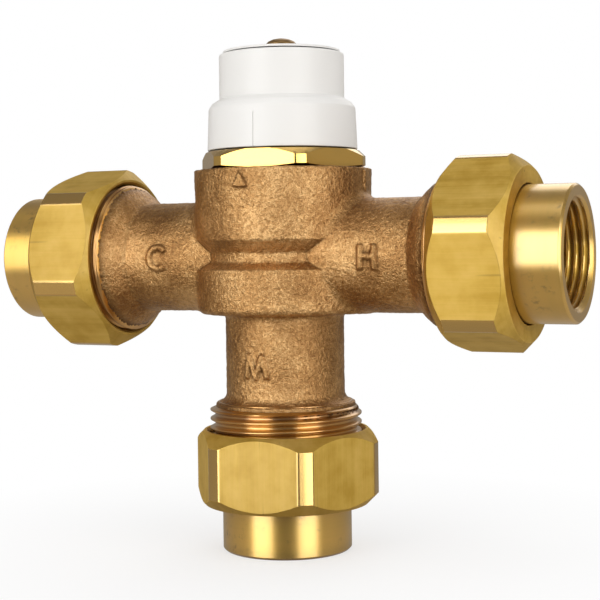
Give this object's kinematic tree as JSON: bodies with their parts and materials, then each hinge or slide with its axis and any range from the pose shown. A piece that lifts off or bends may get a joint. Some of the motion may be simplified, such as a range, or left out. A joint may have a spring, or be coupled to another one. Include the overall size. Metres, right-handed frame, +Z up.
{
  "type": "three-port mixing valve",
  "caption": "Temperature-controlled mixing valve: cast bronze cross body, hexagonal union ends for hot, cold and mixed pipes, and a white adjusting cap.",
  "frame": {"origin": "centre of the mixed outlet's end face, at the bottom, where the valve stands on its outlet tailpiece", "axes": "+Z up through the adjusting cap, +X along the arms towards the hot inlet, -Y to the front with the raised letters"},
  "size_m": [0.1476, 0.046, 0.1257],
  "materials": {
    "cast_bronze": "blasted sand casting, satin",
    "machined_brass": "turned and drawn, bright",
    "screw_brass": "dull",
    "white_cap": "gloss moulded",
    "acetal": "matt moulded",
    "stainless": "bright drawn",
    "seal_rubber": "matt",
    "gasket_fibre": "matt"
  },
  "bodies": {
    "valve": {"body": "cast_bronze", "bonnet": "machined_brass", "bonnet_seal": "seal_rubber", "return_spring": "stainless", "hot_check_cage": "acetal", "hot_cage_seal": "seal_rubber", "hot_check_spring": "stainless", "hot_strainer": "stainless", "cold_check_cage": "acetal", "cold_cage_seal": "seal_rubber", "cold_check_spring": "stainless", "cold_strainer": "stainless", "hot_gasket": "gasket_fibre", "hot_tailpiece": "machined_brass", "cold_gasket": "gasket_fibre", "cold_tailpiece": "machined_brass", "mixed_gasket": "gasket_fibre", "mixed_tailpiece": "machined_brass"},
    "adjuster": {"spindle": "machined_brass", "spindle_seal_lower": "seal_rubber", "spindle_seal_upper": "seal_rubber", "thrust_washer": "acetal", "spindle_clip": "stainless", "cap": "white_cap", "cap_disc": "white_cap", "cap_screw": "screw_brass"},
    "carrier": {"carrier": "machined_brass", "carrier_keeper": "stainless", "overload_spring": "stainless"},
    "overload": {"overload_cup": "machined_brass", "piston": "stainless"},
    "shuttle": {"shuttle": "machined_brass", "shuttle_seal": "seal_rubber", "wax_element": "machined_brass"},
    "hot_check": {"hot_check_poppet": "acetal", "hot_poppet_seal": "seal_rubber"},
    "cold_check": {"cold_check_poppet": "acetal", "cold_poppet_seal": "seal_rubber"},
    "hot_nut": {"hot_union_nut": "machined_brass"},
    "cold_nut": {"cold_union_nut": "machined_brass"},
    "mixed_nut": {"mixed_union_nut": "machined_brass"}
  },
  "joints": [
    {"name": "adjuster_turn", "type": "hinge", "parent": "valve", "child": "adjuster", "pos_m": [0, 0, 0.103], "axis": [0, 0, 1], "range_deg": [-540, 540]},
    {"name": "carrier_lift", "type": "slide", "parent": "valve", "child": "carrier", "axis": [0, 0, 1], "range_m": [-0.00225, 0.00225]},
    {"name": "overload_travel", "type": "slide", "parent": "carrier", "child": "overload", "axis": [0, 0, 1], "range_m": [0, 0.0025], "stiffness_N_per_m": 500, "springref_m": -0.01, "deforming": ["overload_spring"]},
    {"name": "shuttle_travel", "type": "slide", "parent": "valve", "child": "shuttle", "axis": [0, 0, 1], "range_m": [-0.001, 0.001], "stiffness_N_per_m": 1500, "deforming": ["return_spring"]},
    {"name": "hot_check_open", "type": "slide", "parent": "valve", "child": "hot_check", "axis": [-1, 0, 0], "range_m": [0, 0.0025], "stiffness_N_per_m": 100, "springref_m": -0.002, "deforming": ["hot_check_spring"]},
    {"name": "cold_check_open", "type": "slide", "parent": "valve", "child": "cold_check", "axis": [1, 0, 0], "range_m": [0, 0.0025], "stiffness_N_per_m": 100, "springref_m": -0.002, "deforming": ["cold_check_spring"]},
    {"name": "hot_nut_swivel", "type": "hinge", "parent": "valve", "child": "hot_nut", "pos_m": [0.0535, 0, 0.072], "axis": [1, 0, 0], "continuous": true},
    {"name": "cold_nut_swivel", "type": "hinge", "parent": "valve", "child": "cold_nut", "pos_m": [-0.0535, 0, 0.072], "axis": [-1, 0, 0], "continuous": true},
    {"name": "mixed_nut_swivel", "type": "hinge", "parent": "valve", "child": "mixed_nut", "pos_m": [0, 0, 0.0205], "axis": [0, 0, -1], "continuous": true}
  ],
  "couplings": [
    {"joint": "adjuster_turn", "follows": "carrier_lift", "rad_per_m": 4188.8}
  ]
}
